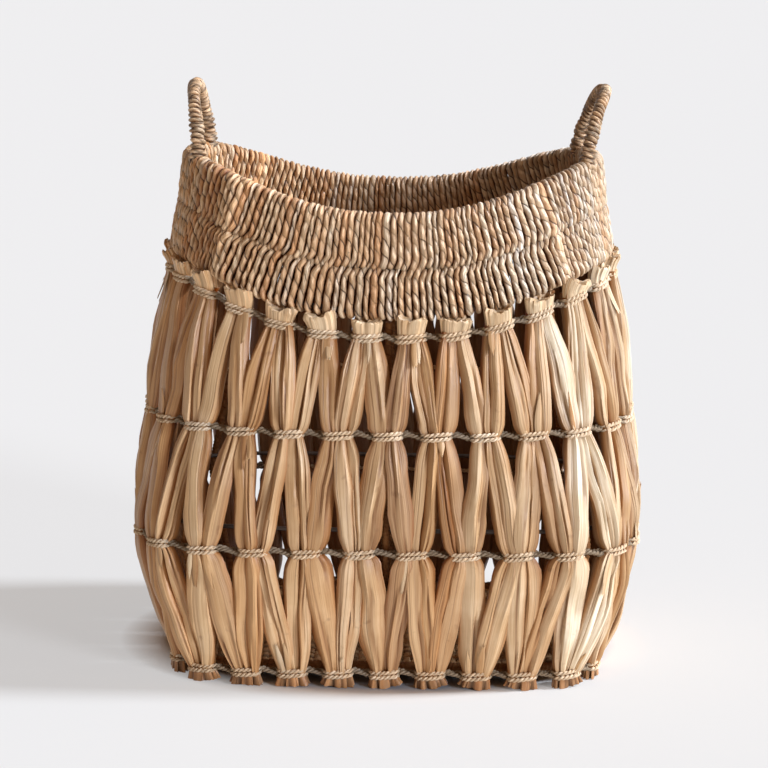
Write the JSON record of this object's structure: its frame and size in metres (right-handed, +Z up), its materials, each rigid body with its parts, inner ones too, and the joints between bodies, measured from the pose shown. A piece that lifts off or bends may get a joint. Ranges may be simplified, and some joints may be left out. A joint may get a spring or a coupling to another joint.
{
  "type": "woven floor basket",
  "caption": "Oval floor basket of tied stalk bundles on a wire frame, with a dipped cord-wound collar, a woven floor and an upright loop handle at each end.",
  "frame": {"origin": "middle of the footprint, on the floor", "axes": "+Z up, +X along the long way from handle to handle, -Y the front"},
  "size_m": [0.4708, 0.3498, 0.5292],
  "materials": {
    "stalk": "satin dried stalk with long grain",
    "twine": "pale twisted straw twine",
    "cord": "twisted dried leaf cord",
    "wire": "dark painted wire",
    "mat": "plain woven leaf mat"
  },
  "bodies": {
    "root": {"bundle_01": "stalk", "bundle_02": "stalk", "bundle_03": "stalk", "bundle_04": "stalk", "bundle_05": "stalk", "bundle_06": "stalk", "bundle_07": "stalk", "bundle_08": "stalk", "bundle_09": "stalk", "bundle_10": "stalk", "bundle_11": "stalk", "bundle_12": "stalk", "bundle_13": "stalk", "bundle_14": "stalk", "bundle_15": "stalk", "bundle_16": "stalk", "bundle_17": "stalk", "bundle_18": "stalk", "bundle_19": "stalk", "bundle_20": "stalk", "bundle_21": "stalk", "bundle_22": "stalk", "bundle_23": "stalk", "bundle_24": "stalk", "bundle_25": "stalk", "bundle_26": "stalk", "bundle_27": "stalk", "bundle_28": "stalk", "bundle_29": "stalk", "bundle_30": "stalk", "twine_row_1": "twine", "twine_row_2": "twine", "twine_row_3": "twine", "twine_row_4": "twine", "rim_wire": "wire", "seam_wire": "wire", "collar_lower_wire": "wire", "belly_ring": "wire", "handle_wire_left": "wire", "handle_wire_right": "wire", "base_bar_1": "wire", "base_bar_2": "wire", "base_bar_3": "wire", "collar_upper_band": "cord", "collar_lower_band": "cord", "handle_wrap_left": "cord", "handle_wrap_right": "cord", "base_ring": "cord", "upright_front": "cord", "upright_front_right": "cord", "upright_back_right": "cord", "upright_back": "cord", "upright_back_left": "cord", "upright_front_left": "cord", "base_mat": "mat"}
  },
  "joints": []
}
